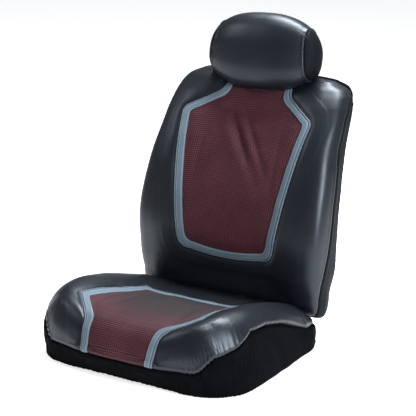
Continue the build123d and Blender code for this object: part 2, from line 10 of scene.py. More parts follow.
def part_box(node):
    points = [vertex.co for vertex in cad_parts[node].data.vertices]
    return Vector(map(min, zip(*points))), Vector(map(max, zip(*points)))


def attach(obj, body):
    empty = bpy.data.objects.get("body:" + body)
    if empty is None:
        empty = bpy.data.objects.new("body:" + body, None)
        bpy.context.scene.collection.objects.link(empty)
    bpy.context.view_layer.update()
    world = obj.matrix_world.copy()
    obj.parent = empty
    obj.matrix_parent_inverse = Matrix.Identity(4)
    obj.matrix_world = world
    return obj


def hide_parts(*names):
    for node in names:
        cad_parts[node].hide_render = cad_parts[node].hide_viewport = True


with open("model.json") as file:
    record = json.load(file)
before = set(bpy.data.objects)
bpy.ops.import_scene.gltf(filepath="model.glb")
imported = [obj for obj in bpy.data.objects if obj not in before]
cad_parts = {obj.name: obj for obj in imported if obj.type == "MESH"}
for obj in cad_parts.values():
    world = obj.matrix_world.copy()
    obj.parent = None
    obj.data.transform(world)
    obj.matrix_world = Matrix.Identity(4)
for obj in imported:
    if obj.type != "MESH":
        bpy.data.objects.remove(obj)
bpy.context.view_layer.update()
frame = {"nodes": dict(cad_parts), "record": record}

# Design coordinates are millimetres with Y = 0 at the front hem, as the covers are cut.
# A design point p is at (p - ORIGIN) * MM in the shared frame.
ORIGIN = np.array([0.0, 327.0, 0.0])
MM = 0.001

# The recliner axis and the roll about it at the backrest's lower end
PIVOT = np.array([482.0, 92.0])
ROLL_R = 52.0
ROLL_CLEARANCE = 3.5        # between the roll and the cushion's plain form
CREASE_CLEARANCE = 10.0     # between the roll and the finished seat cover

GRID = 2.8                  # spacing of the surface grids
COARSE = 5                  # every so many grid points is one point of the cloth
HEM_Z = 3.0
SKIN_T = 0.0022             # metres

# y, half width, height in the middle, height of the bolster crest, underside height
CUSHION_STATIONS = np.array((
    (-38.0, 118.0, 84.0, 80.0, 46.0),
    (-26.0, 178.0, 110.0, 108.0, 20.0),
    (-4.0, 222.0, 132.0, 138.0, -4.0),
    (40.0, 255.0, 138.0, 158.0, -12.0),
    (110.0, 266.0, 132.0, 163.0, -12.0),
    (200.0, 269.0, 118.0, 148.0, -12.0),
    (300.0, 268.0, 101.0, 122.0, -12.0),
    (390.0, 264.0, 82.0, 92.0, -12.0),
    (428.0, 252.0, 73.0, 74.0, -12.0),
    (444.0, 226.0, 66.0, 62.0, -12.0),
))

# z, half width, front of the bolsters, front in the middle, rear
BACK_STATIONS = np.array((
    (92.0, 259.0, 430.0, 434.0, 534.0),
    (112.0, 260.0, 424.0, 434.0, 545.0),
    (165.0, 263.0, 418.0, 432.0, 559.0),
    (235.0, 265.0, 416.0, 434.0, 561.0),
    (316.0, 263.0, 435.0, 453.0, 574.0),
    (385.0, 257.0, 461.0, 482.0, 595.0),
    (453.0, 249.0, 496.0, 517.0, 629.0),
    (519.0, 244.0, 543.0, 558.0, 668.0),
    (548.0, 238.0, 567.0, 582.0, 686.0),
    (568.0, 229.0, 589.0, 601.0, 692.0),
    (581.0, 213.0, 606.0, 614.0, 690.0),
    (589.0, 190.0, 622.0, 626.0, 680.0),
))

# The headrest: a squarish oval in the side view that shrinks towards the gussets
HEAD_Y, HEAD_Z, HEAD_TILT = 625.0, 640.0, math.radians(11.5)
HEAD_HALF_W, HEAD_HALF_T, HEAD_UP, HEAD_DOWN = 154.0, 65.0, 106.0, 88.0
CROWN, CROWN_R = np.array([650.0, 533.0]), 68.0      # the hollow over the backrest's top
HEAD_GUSSET_X = 130.0
HEAD_REAR_SEAM = 34.0

# Seams of the backrest in the side view (y, z)
FRONT_SEAM = np.array(((452, 40), (452, 130), (476, 245), (498, 330), (541, 445), (582, 510),
                       (614, 545), (652, 572)), float)
REAR_SEAM = np.array(((505, 40), (512, 150), (520, 245), (538, 330), (583, 445), (630, 530),
                      (646, 566)), float)
SEAM_TOP_Z, SEAM_BOTTOM_Z = 566.0, 62.0
FLAP_HALF_WIDTH = 199.5

# The slots that the recliner brackets pass through: across, in degrees about the axis, and reach
SLOT_X, SLOT_ARC, SLOT_R = (195.5, 203.5), (212.0, 359.0), 76.0

# Trim outlines, right halves, each point with the radius of its corner
BACK_TRIM_OUTER = ((133, 173, 34), (182, 509, 14), (92, 554, 18), (86, 640, 0))
BACK_TRIM_INNER = ((113, 192, 24), (160, 500, 9), (76, 543, 16), (66, 640, 0))
BACK_BOW = 9.0              # how far the bottom edge of the trim bows down
SEAT_TRIM_OUTER = ((134, 278, 8), (168, 58, 8), (103, -11, 12), (93, -120, 0))
SEAT_TRIM_INNER = ((117, 258, 5), (146, 64, 6), (84, -1, 10), (73, -120, 0))
SEAT_BOW = -7.0
NOSE, NOSE_R = np.array([10.0, 85.0]), 48.0      # the cushion's nose, as a quarter circle

# Seam between the cushion's top and its skirts in the side view (y, z)
SKIRT_SEAM = np.array(((-60, 62), (-22, 62), (4, 98), (53, 109), (112, 128), (176, 122), (246, 104),
                       (360, 58), (426, 50)), float)
SKIRT_INNER_X = 205.0
REAR_FLAP_Y = 426.0
CREASE_Y = 395.0

# Closure tape on the roll (degrees about the axis), side tag in the side view, and straps
TAPE_ANGLES, TAPE_HALF_L, TAPE_TOP_Z = (-62.0, -25.0), 185.0, 92.0
TAG_CENTRE, TAG_HALF, TAG_TILT = np.array([631.0, 490.0]), (6.5, 21.0), math.radians(42.0)
STRAP_X, STRAP_HALF_W, STRAP_COLUMNS = 90.0, 12.5, 15

MESH_PITCH = 5.0            # between the holes of the spacer mesh
STITCH_PITCH = 4.2
# Across the trim strip: piping, groove and outer stitches from its outer edge, inner stitches
# from its inner edge
PIPING_AT, PIPING_R, GROOVE_AT, OUTER_STITCH, INNER_STITCH = 2.2, 2.1, 4.8, 7.2, 2.4
PRESSURE, CLOTH_FRAMES = 4.0, 20
TIP_SHARE = 0.02            # size of a closed end's last ring


# ------------------------------------------------------------------ curves and distances

def hermite(p0, p1, m0, m1, t):
    t2, t3 = t * t, t * t * t
    start = (2 * t3 - 3 * t2 + 1) * p0 + (t3 - 2 * t2 + t) * m0
    return start + (3 * t2 - 2 * t3) * p1 + (t3 - t2) * m1


def through(xs, ys, x):
    """A smooth curve through the points (xs, ys), read at x."""
    slope = np.gradient(ys, xs)
    i = np.clip(np.searchsorted(xs, x) - 1, 0, len(xs) - 2)
    h = xs[i + 1] - xs[i]
    return hermite(ys[i], ys[i + 1], slope[i] * h, slope[i + 1] * h, (x - xs[i]) / h)


def ring_through(points, count):
    """count points, evenly spaced, on a smooth closed curve through the given ones."""
    wrapped = np.vstack([points[-2:], points, points[:3]])
    s = np.concatenate([[0], np.cumsum(np.linalg.norm(np.diff(wrapped, axis=0), axis=1))])
    start, end = s[2], s[2 + len(points)]
    at = start + (end - start) * np.arange(count) / count
    return np.stack([through(s, wrapped[:, k], at) for k in range(2)], axis=1)


def rounded_outline(right, bow):
    """A closed outline from its right half with rounded corners; the end edge bows by bow."""
    left = [(-x, y, r) for x, y, r in reversed(right)]
    corners = list(right) + left
    out = []
    for k, (x, y, r) in enumerate(corners):
        p = np.array([x, y], float)
        if not r:
            out.append(p)
            continue
        a = np.array(corners[k - 1][:2], float) - p
        b = np.array(corners[(k + 1) % len(corners)][:2], float) - p
        a, b = a / np.linalg.norm(a), b / np.linalg.norm(b)
        for t in np.linspace(0, 1, 7):
            out.append((1 - t) ** 2 * (p + a * r) + 2 * t * (1 - t) * p + t * t * (p + b * r))
    first, last = out[-1], out[0]
    for t in np.linspace(0, 1, 12)[1:-1]:
        out.append(first + (last - first) * t + np.array([0, -bow * 4 * t * (1 - t)]))
    return np.array(out)


def open_chain(right, bow):
    """The same outline as an open chain, from its left end to its right end."""
    outline = rounded_outline(right, bow)
    own = sum(7 if r else 1 for _, _, r in right)
    return np.roll(outline, -own, axis=0)


def outline_distance(outline, p):
    """Distance of the points p from a closed outline, negative inside it."""
    best = np.full(len(p), 1e9)
    inside = np.zeros(len(p), bool)
    for a, b in zip(outline, np.roll(outline, -1, axis=0)):
        ab, ap = b - a, p - a
        t = np.clip((ap @ ab) / max(ab @ ab, 1e-9), 0, 1)
        best = np.minimum(best, np.linalg.norm(ap - t[:, None] * ab, axis=1))
        crosses = (a[1] > p[:, 1]) != (b[1] > p[:, 1])
        slope = ab[0] / (ab[1] if abs(ab[1]) > 1e-9 else 1e-9)
        inside ^= crosses & (p[:, 0] < a[0] + (p[:, 1] - a[1]) * slope)
    return np.where(inside, -best, best)


def step(x):
    x = np.clip(x, 0, 1)
    return x * x * (3 - 2 * x)


def bump(x, width):
    return np.exp(-((x / width) ** 2))


def wave_noise(p, scale, seed, count=9):
    """Soft seeded noise from sine waves, about -1 to 1."""
    rng = np.random.default_rng(seed)
    total = np.zeros(len(p))
    for _ in range(count):
        d = rng.normal(size=p.shape[1])
        d *= rng.uniform(0.6, 1.6) / (np.linalg.norm(d) * scale)
        total += np.sin(2 * math.pi * (p @ d) + rng.uniform(0, 2 * math.pi))
    return total / math.sqrt(count) * 0.8


# ------------------------------------------------------------------ surface grids

def cushion_grid():
    """Rings across the cushion from the nose to the rear face, closed at both ends."""
    st = CUSHION_STATIONS
    y = np.concatenate([np.arange(-38, -20, 1.5), np.arange(-20, 0, 2.0), np.arange(0, 420, GRID),
                        np.arange(420, 444.1, 2.0)])
    rows = [through(st[:, 0], st[:, k], y) for k in range(1, 5)]
    rings = []
    for at, half, middle, crest, under in zip(y, *rows):
        tall = crest - under
        corner = min(0.2 * tall, 30.0)
        right = [
            (0.0, middle),
            (0.42 * half, middle + 0.12 * (crest - middle)),
            (half - 0.36 * min(half, 130.0), crest),
            (half - 0.07 * half, crest - 0.16 * tall),
            (half, crest - 0.48 * tall),
            (half - 2.0, under + 1.4 * corner),
            (half - 0.3 * corner - 2.0, under + 0.3 * corner),
            (half - 1.4 * corner, under),
            (0.4 * half, under),
            (0.0, under),
        ]
        loop = np.array(right + [(-a, b) for a, b in reversed(right[1:-1])])
        ring = ring_through(loop, 470)
        rings.append(np.column_stack([ring[:, 0], np.full(len(ring), at), ring[:, 1]]))
    nose = closing(rings[0], (0.0, -42.0, 64.0), 9)[::-1]
    tail = closing(rings[-1], (0.0, 445.0, 28.0), 8)
    return np.array(nose + rings + tail)


def settle_hem(p):
    """Tucks the hem under the nose and lets it flare at the sides."""
    low = step((78 - p[:, 2]) / 72)
    front = step((50 - p[:, 1]) / 90)
    x, y = np.abs(p[:, 0]), p[:, 1]
    side = step((x - 170) / 70) * step((y + 5) / 110) * step((436 - y) / 60)
    out = p.copy()
    out[:, 1] += 12 * low * front
    out[:, 0] += np.sign(p[:, 0]) * (16 * side - 5 * front) * low * np.minimum(x / 200, 1)
    return out


def closing(ring, tip, count):
    """Rings that close an end, each smaller than the last and bulging towards the tip."""
    tip = np.array(tip)
    out = []
    for k in range(1, count + 1):
        a = 0.5 * math.pi * k / count
        share = math.cos(a) * (1 - TIP_SHARE) + TIP_SHARE
        flat = ring * share + (1 - share) * tip
        normal = np.argmax(np.abs(tip - ring.mean(axis=0)) * (np.ptp(ring, axis=0) < 1e-6))
        flat[:, normal] = ring[0, normal] + (tip[normal] - ring[0, normal]) * math.sin(a)
        out.append(flat)
    return out


def back_ring(half, bolster, middle, rear):
    """Section across the backrest, as points (x, y)."""
    deep = rear - bolster
    front_r, rear_r = min(44.0, 0.4 * deep), min(54.0, 0.46 * deep)
    right = [
        (0.0, middle),
        (0.4 * half, middle - 0.12 * (middle - bolster)),
        (0.8 * half, bolster),
        (half - 0.3 * front_r, bolster + 0.3 * front_r),
        (half, bolster + 1.15 * front_r),
        (half - 0.3 * rear_r, rear - 0.3 * rear_r),
        (half - 1.15 * rear_r, rear),
        (0.35 * half, rear + 1.5),
        (0.0, rear + 2.0),
    ]
    loop = np.array(right + [(-a, b) for a, b in reversed(right[1:-1])])
    return ring_through(loop, 440)


def back_grid():
    """Rings up the backrest: the roll about the recliner axis, the body and a crowned top."""
    rings = []
    for angle in np.radians(np.arange(6, 88, 3.2)):
        z = PIVOT[1] - ROLL_R * math.cos(angle)
        c = ROLL_R * math.sin(angle)
        half = 244.0 + 15.0 * math.sin(angle) ** 0.7
        ring = back_ring(half, PIVOT[0] - c, PIVOT[0] - c + 0.08 * c, PIVOT[0] + c)
        rings.append(np.column_stack([ring, np.full(len(ring), z)]))
    foot = closing(rings[0], (0.0, PIVOT[0], PIVOT[1] - ROLL_R), 3)[::-1]
    st = BACK_STATIONS
    z = np.concatenate([np.arange(93, 540, GRID), np.arange(540, 572, 2.0),
                        np.arange(572, 589.1, 1.1)])
    rows = [through(st[:, 0], st[:, k], z) for k in range(1, 5)]
    for at, half, bolster, middle, rear in zip(z, *rows):
        ring = back_ring(half, bolster, middle, rear)
        rings.append(np.column_stack([ring, np.full(len(ring), at)]))
    top = closing(rings[-1], (0.0, 650.0, 592.5), 9)
    return np.array(foot + rings + top)


def head_grid():
    """Rings across the headrest from gusset to gusset, rounded off at both ends."""
    x = HEAD_HALF_W * np.sin(np.linspace(-0.5 * math.pi, 0.5 * math.pi, 150))
    share = np.maximum(1 - np.abs(x / HEAD_HALF_W) ** 2.4, 1e-4) ** (1 / 2.25)
    angle = np.radians(22.5 * np.arange(16))
    across = np.abs(np.cos(angle)) ** 0.8 * np.sign(np.round(np.cos(angle), 6))
    up = np.abs(np.sin(angle)) ** 0.8 * np.sign(np.round(np.sin(angle), 6))
    up = np.where(up > 0, up * HEAD_UP, up * HEAD_DOWN)
    ring = ring_through(np.column_stack([across * HEAD_HALF_T, up]), 200)
    rings = []
    for at, k in zip(x, share):
        y = HEAD_Y + k * (ring[:, 0] * math.cos(HEAD_TILT) + ring[:, 1] * math.sin(HEAD_TILT))
        z = HEAD_Z - k * (ring[:, 0] * math.sin(HEAD_TILT) - ring[:, 1] * math.cos(HEAD_TILT))
        rings.append(np.column_stack([np.full(len(ring), at), y, z]))
    return np.array(rings)


def push_out(p, centre, radius):
    """Moves points out of a cylinder across the seat."""
    out = p.copy()
    d = p[:, 1:] - centre
    r = np.linalg.norm(d, axis=1)
    inside = r < radius
    out[inside, 1:] = centre + d[inside] / np.maximum(r[inside], 1e-6)[:, None] * radius
    return out


def triangles(rows, cols):
    """Triangles of a grid that is closed along its columns."""
    r, c = np.meshgrid(np.arange(rows - 1), np.arange(cols), indexing="ij")
    a, b = r * cols + c, r * cols + (c + 1) % cols
    d, e = a + cols, b + cols
    flip = ((r + c) % 2 == 0)[..., None]
    one = np.where(flip, np.stack([a, b, e], -1), np.stack([a, b, d], -1))
    two = np.where(flip, np.stack([a, e, d], -1), np.stack([b, e, d], -1))
    return np.concatenate([one.reshape(-1, 3), two.reshape(-1, 3)])


def normals(p, tris):
    a, b, c = p[tris[:, 0]], p[tris[:, 1]], p[tris[:, 2]]
    n = np.cross(b - a, c - a)
    out = np.zeros_like(p)
    for k in range(3):
        np.add.at(out, tris[:, k], n)
    return out / np.maximum(np.linalg.norm(out, axis=1), 1e-9)[:, None]


class Form:
    """A closed soft form on a body: its points, triangles and outward normals."""

    def __init__(self, grid, body):
        self.body = body
        self.shape = grid.shape[:2]
        self.p = grid.reshape(-1, 3)
        self.tris = triangles(*self.shape)
        self.n = normals(self.p, self.tris)
        centre = self.p.mean(axis=0)
        if ((self.p - centre) * self.n).sum() < 0:
            self.tris = self.tris[:, ::-1]
            self.n = -self.n

    def snap(self, field, where=None):
        """Moves the nearest points onto field = 0, so that a panel can end cleanly there."""
        edges = np.concatenate([self.tris[:, [0, 1]], self.tris[:, [1, 2]], self.tris[:, [2, 0]]])
        edges = np.unique(np.sort(edges, axis=1), axis=0)
        value = field(self.p)
        a, b = edges[:, 0], edges[:, 1]
        fa, fb = value[a], value[b]
        hit = fa * fb < 0
        if where is not None:
            ok = where(self.p)
            hit &= ok[a] & ok[b]
        a, b, fa, fb = a[hit], b[hit], fa[hit], fb[hit]
        t = fa / (fa - fb)
        cross = self.p[a] + (self.p[b] - self.p[a]) * t[:, None]
        near = np.where(t < 0.5, a, b)
        reach = np.linalg.norm(cross - self.p[near], axis=1)
        order = np.argsort(-reach)
        self.p[near[order]] = cross[order]


# ------------------------------------------------------------------ cloth

def inflate(form, pinned, cap):
    """How far a pressurised cloth, held at its seams, stands out from each point, up to cap."""
    rows, cols = form.shape
    r = np.unique(np.append(np.arange(0, rows, COARSE), rows - 1))
    c = np.arange(0, cols, COARSE)
    ids = (r[:, None] * cols + c[None, :]).ravel()
    co = (form.p[ids] - ORIGIN) * MM
    mesh = bpy.data.meshes.new("cloth")
    mesh.from_pydata(co.tolist(), [], triangles(len(r), len(c)).tolist())
    cloth = bpy.data.objects.new("cloth", mesh)
    bpy.context.scene.collection.objects.link(cloth)
    group = cloth.vertex_groups.new(name="seams")
    group.add(np.nonzero(pinned[ids])[0].tolist(), 1.0, "REPLACE")
    mod = cloth.modifiers.new("Cloth", "CLOTH")
    s = mod.settings
    s.quality = 6
    s.mass = 0.4
    s.tension_stiffness = s.compression_stiffness = 18
    s.shear_stiffness = 8
    s.bending_stiffness = 0.6
    s.use_pressure = True
    s.uniform_pressure_force = PRESSURE
    s.vertex_group_mass = "seams"
    s.effector_weights.gravity = 0
    mod.collision_settings.use_collision = False
    mod.point_cache.frame_start, mod.point_cache.frame_end = 1, CLOTH_FRAMES
    scene = bpy.context.scene
    for f in range(1, CLOTH_FRAMES + 1):
        scene.frame_set(f)
    done = cloth.evaluated_get(bpy.context.evaluated_depsgraph_get())
    out = np.zeros(len(done.data.vertices) * 3)
    done.data.vertices.foreach_get("co", out)
    move = (out.reshape(-1, 3) - co) / MM
    scene.frame_set(1)
    bpy.data.objects.remove(cloth)
    lift = (move * form.n[ids]).sum(axis=1)
    lift = np.clip(np.nan_to_num(lift), -cap, cap).reshape(len(r), len(c))
    fine = np.array([np.interp(np.arange(rows), r, lift[:, k]) for k in range(len(c))]).T
    wrap = np.hstack([fine, fine[:, :1]])
    at = np.append(c, cols)
    return np.array([np.interp(np.arange(cols), at, row) for row in wrap]).ravel()


# ------------------------------------------------------------------ pieces

def piece(name, form, where, replaced, material, thick=SKIN_T, split=0, relief=None,
          weave=None, raised=0.0):
    """One panel of a form as its own object: the triangles chosen by where, made thick."""
    tris = form.tris[where]
    used, flat = np.unique(tris, return_inverse=True)
    p, n = (form.p + form.n * (form.lift + raised)[:, None])[used], form.n[used]
    tris = flat.reshape(-1, 3)
    uv = weave[used] if weave is not None else None
    for _ in range(split):
        p, n, uv, tris = quarter(p, n, uv, tris)
    if relief is not None:
        p = p + n * relief(uv)[:, None]
    return panel(name, p, uv, tris, form.body, replaced, material, thick)


def panel(name, p, uv, tris, body, replaced, material, thick):
    """A mesh object from design points, made thick inwards, that rides on a body."""
    used, flat = np.unique(tris, return_inverse=True)
    p, tris = p[used], flat.reshape(-1, 3)
    mesh = bpy.data.meshes.new(name)
    mesh.vertices.add(len(p))
    mesh.vertices.foreach_set("co", ((p - ORIGIN) * MM).ravel())
    mesh.loops.add(len(tris) * 3)
    mesh.loops.foreach_set("vertex_index", tris.ravel())
    mesh.polygons.add(len(tris))
    mesh.polygons.foreach_set("loop_start", np.arange(0, len(tris) * 3, 3))
    mesh.update(calc_edges=True)
    mesh.validate()
    mesh.shade_smooth()
    if uv is not None:
        layer = mesh.attributes.new("weave", "FLOAT_VECTOR", "POINT")
        layer.data.foreach_set("vector", np.pad(uv[used], ((0, 0), (0, 3 - uv.shape[1]))).ravel())
    obj = bpy.data.objects.new(name, mesh)
    bpy.context.scene.collection.objects.link(obj)
    if thick:
        solid = obj.modifiers.new("thickness", "SOLIDIFY")
        solid.thickness = thick
        solid.offset = -1.0
        apply_modifiers(obj)
    obj.data.materials.clear()
    obj.data.materials.append(material)
    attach(obj, body)
    if replaced:
        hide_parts(*replaced)
    return obj


def quarter(p, n, uv, tris):
    """Splits each triangle into four."""
    edges = np.concatenate([tris[:, [0, 1]], tris[:, [1, 2]], tris[:, [2, 0]]])
    unique, back = np.unique(np.sort(edges, axis=1), axis=0, return_inverse=True)
    back = back.reshape(-1) + len(p)
    a, b = unique[:, 0], unique[:, 1]
    m = len(tris)
    ab, bc, ca = back[:m], back[m:2 * m], back[2 * m:]
    p = np.vstack([p, (p[a] + p[b]) / 2])
    mid = n[a] + n[b]
    n = np.vstack([n, mid / np.linalg.norm(mid, axis=1)[:, None]])
    uv = None if uv is None else np.vstack([uv, (uv[a] + uv[b]) / 2])
    x, y, z = tris.T
    corners = ((x, ab, ca), (ab, y, bc), (ca, bc, z), (ab, bc, ca))
    return p, n, uv, np.concatenate([np.stack(t, 1) for t in corners])


def apply_modifiers(obj):
    graph = bpy.context.evaluated_depsgraph_get()
    mesh = bpy.data.meshes.new_from_object(obj.evaluated_get(graph))
    obj.modifiers.clear()
    obj.data = mesh


# ------------------------------------------------------------------ materials

class Look:
    """A material being put together: its node tree, its shader and short ways to add nodes."""

    def __init__(self, name):
        self.material = bpy.data.materials.new(name)
        self.material.use_nodes = True
        self.tree = self.material.node_tree
        self.shader = self.tree.nodes["Principled BSDF"]
        self.place = self.add("TexCoord").outputs["Object"]

    def add(self, kind, **values):
        """A new node; each value goes to the property of that name, or else to the input."""
        made = self.tree.nodes.new("ShaderNode" + kind)
        for key, value in values.items():
            if hasattr(made, key):
                setattr(made, key, value)
            else:
                self.feed(made.inputs[key.replace("_", " ").title()], value)
        return made

    def feed(self, socket, source):
        """Links an input to an output, or sets it to a plain value."""
        if isinstance(source, bpy.types.NodeSocket):
            self.tree.links.new(source, socket)
        else:
            socket.default_value = source

    def set(self, **values):
        """Feeds the shader's inputs; the names are theirs with _ for each space."""
        for key, value in values.items():
            self.feed(self.shader.inputs[key.replace("_", " ")], value)

    def math(self, operation, *terms):
        made = self.add("Math", operation=operation)
        for socket, term in zip(made.inputs, terms):
            self.feed(socket, term)
        return made.outputs["Value"]

    def noise(self, scale, detail):
        return self.add("TexNoise", vector=self.place, scale=scale, detail=detail).outputs["Fac"]

    def span(self, source, low, high, start=0.0, end=1.0):
        """The source, mapped from start...end to low...high."""
        made = self.add("MapRange", value=source, from_min=start, from_max=end, to_min=low, to_max=high)
        return made.outputs["Result"]

    def tone(self, source, low, high, start=0.3, end=0.7):
        """A colour between low and high as the source goes from start to end."""
        made = self.add("ValToRGB", fac=source)
        for element, at, colour in zip(made.color_ramp.elements, (start, end), (low, high)):
            element.position, element.color = at, (*colour, 1)
        return made.outputs["Color"]

    def mix(self, factor, colour, paint):
        made = self.add("Mix", data_type="RGBA")
        for name, source in (("Factor", factor), ("A", colour), ("B", (*paint, 1))):
            self.feed(made.inputs[name], source)
        return made.outputs["Result"]

    def bump(self, height, strength, distance, under=None):
        made = self.add("Bump", strength=strength, distance=distance)
        self.feed(made.inputs["Height"], height)
        if under:
            self.feed(made.inputs["Normal"], under)
        return made.outputs["Normal"]

    def weave(self):
        """The flat coordinates that a piece carries, in millimetres."""
        split = self.add("SeparateXYZ")
        self.feed(split.inputs[0], self.add("Attribute", attribute_name="weave").outputs["Vector"])
        return split.outputs


def leatherette(name, low, high, rough, grain=900.0, specular=0.42, sewn=None):
    """Embossed vinyl: fine pebble grain, cloudy colour, and shine that varies with wear."""
    look = Look(name)
    colour = look.tone(look.noise(9.0, 5.0), low, high, 0.3, 0.75)
    # sewn holds two colours: painted shade for the trim's groove beside the piping, and the thread
    if sewn:
        colour = stitched(look, colour, *sewn)
    pebble = look.add("TexVoronoi", vector=look.place, scale=grain).outputs["Distance"]
    folds = look.bump(look.noise(60.0, 4.0), 0.10, 0.0012)
    look.set(Base_Color=colour, Roughness=look.span(look.noise(26.0, 6.0), *rough),
             Normal=look.bump(pebble, 0.12, 0.0004, folds), Specular_IOR_Level=specular,
             Specular_Tint=(0.86, 0.93, 1.0, 1))
    return look.material


def stitched(look, colour, groove_shade, thread):
    """Darkens the groove beside the piping with painted shade, and draws the stitches along both edges of
    the band.
    """
    from_piping, along, from_insert = look.weave()

    def near(edge, at, reach):
        """1 at the given distance from an edge, and 0 further than reach from it."""
        return look.span(look.math("ABSOLUTE", look.math("SUBTRACT", edge, at)), 1.0, 0.0, 0.0, reach)

    wave = look.math("SINE", look.math("MULTIPLY", along, 2 * math.pi / STITCH_PITCH))
    dash = look.span(wave, 0.0, 1.0, -0.3, 0.1)
    # painted shade: the groove beside the piping is darkened in colour rather than by light
    colour = look.mix(near(from_piping, GROOVE_AT, 1.3), colour, groove_shade)
    for edge, at in ((from_piping, OUTER_STITCH), (from_insert, INNER_STITCH)):
        colour = look.mix(look.math("MULTIPLY", near(edge, at, 1.0), dash), colour, thread)
    return colour


def knit(name, low, high, threads=520.0):
    """Tight dull warp knit: two crossed waves of thread, fuzz and cloudy colour."""
    look = Look(name)
    cloud = look.noise(30.0, 8.0)
    waves = [look.add("TexWave", vector=look.place, scale=threads, distortion=1.5,
                      bands_direction=way).outputs["Fac"] for way in "XZ"]
    look.set(Base_Color=look.tone(cloud, low, high), Roughness=look.span(cloud, 0.6, 0.8),
             Normal=look.bump(look.math("ADD", *waves), 0.25, 0.0005),
             Specular_IOR_Level=0.05, IOR=1.2)
    return look.material


def mesh_height(uv):
    """Holes of the spacer mesh, staggered row by row; uv in millimetres."""
    x, y = uv[:, 0] / MESH_PITCH, uv[:, 1] / MESH_PITCH
    cell = np.sin(math.pi * (x + y)) * np.sin(math.pi * (x - y))
    return 0.55 * cell * np.abs(cell) ** 0.2 - 0.1


def spacer_mesh(name, low, high, hole, patch=None):
    """Spacer mesh: dark holes in staggered rows between threads; patch is a darker round area."""
    look = Look(name)
    across, along, _ = look.weave()
    waves = [look.math("SINE", look.math("MULTIPLY", look.math(way, across, along), math.pi / MESH_PITCH))
             for way in ("ADD", "SUBTRACT")]
    cell = look.math("ADD", look.math("MULTIPLY", look.math("MULTIPLY", *waves), 0.5), 0.5)
    opening = look.tone(cell, (1, 1, 1), (0, 0, 0), 0.36, 0.56)
    colour = look.mix(opening, look.tone(look.noise(18.0, 6.0), low, high), hole)
    if patch:
        centre, size, tint = patch
        shift = look.add("Mapping", vector=look.place)
        shift.inputs["Location"].default_value = [-c / s for c, s in zip(centre, size)]
        shift.inputs["Scale"].default_value = [1 / s for s in size]
        ball = look.add("TexGradient", gradient_type="SPHERICAL", vector=shift.outputs["Vector"])
        share = look.tone(ball.outputs["Fac"], (0, 0, 0), (0.9, 0.9, 0.9), 0.05, 0.5)
        colour = look.mix(share, colour, tint)
    relief = look.bump(cell, 0.5, 0.0008)
    look.set(Base_Color=colour, Normal=look.bump(look.noise(1400.0, 2.0), 0.2, 0.0003, relief),
             Roughness=0.62, Specular_IOR_Level=0.25)
    return look.material


def hard(name, low, high, metallic, rough, scale=240.0, depth=0.08):
    """Paint, plating or moulded plastic with fine texture and handled patches."""
    look = Look(name)
    cloud = look.noise(22.0, 6.0)
    look.set(Base_Color=look.tone(cloud, low, high), Roughness=look.span(cloud, *rough),
             Normal=look.bump(look.noise(scale, 3.0), depth, 0.0003), Metallic=metallic)
    return look.material


RED_THREADS = (0.060, 0.0095, 0.0155), (0.090, 0.0155, 0.0245), (0.0035, 0.0018, 0.0024)
SEAT_PATCH = (0.02, -0.14, 0.125), (0.20, 0.17, 0.25), (0.010, 0.008, 0.0095)

LEATHER = leatherette("leatherette_black", (0.0030, 0.0036, 0.0060), (0.0052, 0.0062, 0.0095), (0.33, 0.46))
# the grey trim's first sewn colour is painted shade for the groove beside the piping; the second is the
# thread colour
GREY = leatherette("leatherette_grey", (0.075, 0.104, 0.128), (0.105, 0.138, 0.165), (0.5, 0.65),
                   grain=1100.0, sewn=((0.012, 0.014, 0.018), (0.30, 0.34, 0.38)))
SIDE = leatherette("leatherette_side", (0.0030, 0.0034, 0.0048), (0.0048, 0.0054, 0.0075), (0.5, 0.62),
                   specular=0.06)
KNIT = knit("side_knit", (0.0016, 0.0018, 0.0024), (0.0030, 0.0033, 0.0042))
MESH = spacer_mesh("spacer_mesh", *RED_THREADS)
SEAT_MESH = spacer_mesh("spacer_mesh_seat", *RED_THREADS, SEAT_PATCH)
WEBBING = knit("webbing", (0.010, 0.010, 0.011), (0.018, 0.018, 0.020), threads=300.0)
TAG = knit("tag_weave", (0.33, 0.46, 0.53), (0.42, 0.56, 0.63), threads=700.0)
PAINT = hard("black_paint", (0.012, 0.012, 0.013), (0.02, 0.02, 0.022), 0.0, (0.3, 0.5))
ZINC = hard("zinc_plate", (0.42, 0.42, 0.43), (0.58, 0.57, 0.55), 1.0, (0.25, 0.45))
CHROME = hard("post_chrome", (0.60, 0.61, 0.63), (0.70, 0.71, 0.73), 1.0, (0.08, 0.18), depth=0.02)
PLASTIC = hard("black_plastic", (0.010, 0.010, 0.011), (0.018, 0.018, 0.019), 0.0, (0.45, 0.65),
               scale=900.0, depth=0.2)


# ------------------------------------------------------------------ trim and seam shapes

def strip_height(across, along, width):
    """Section of the grey strip: a piping, a groove and a padded band stitched on both edges."""
    off = across - PIPING_AT
    piping = np.where(np.abs(off) < PIPING_R, np.sqrt(np.clip(4.4 - off ** 2, 0, None)), 0.0)
    share = np.clip((across - 5.0) / (width - 5.0), 0, 1)
    padding = 0.9 + 1.7 * np.sqrt(np.clip(1 - (2 * share - 1) ** 6, 0, 1))
    band = np.where(across > 5.0, padding, 0.25)
    stitch = bump(across - OUTER_STITCH, 0.9) + bump(across - (width - INNER_STITCH), 0.9)
    stitch = 0.8 * stitch * (0.6 + 0.4 * np.sin(2 * math.pi * along / STITCH_PITCH))
    edge = step(np.minimum(across, width - across) / 0.8)
    return (np.maximum(piping, band) - stitch) * edge - 0.9 * (1 - edge)


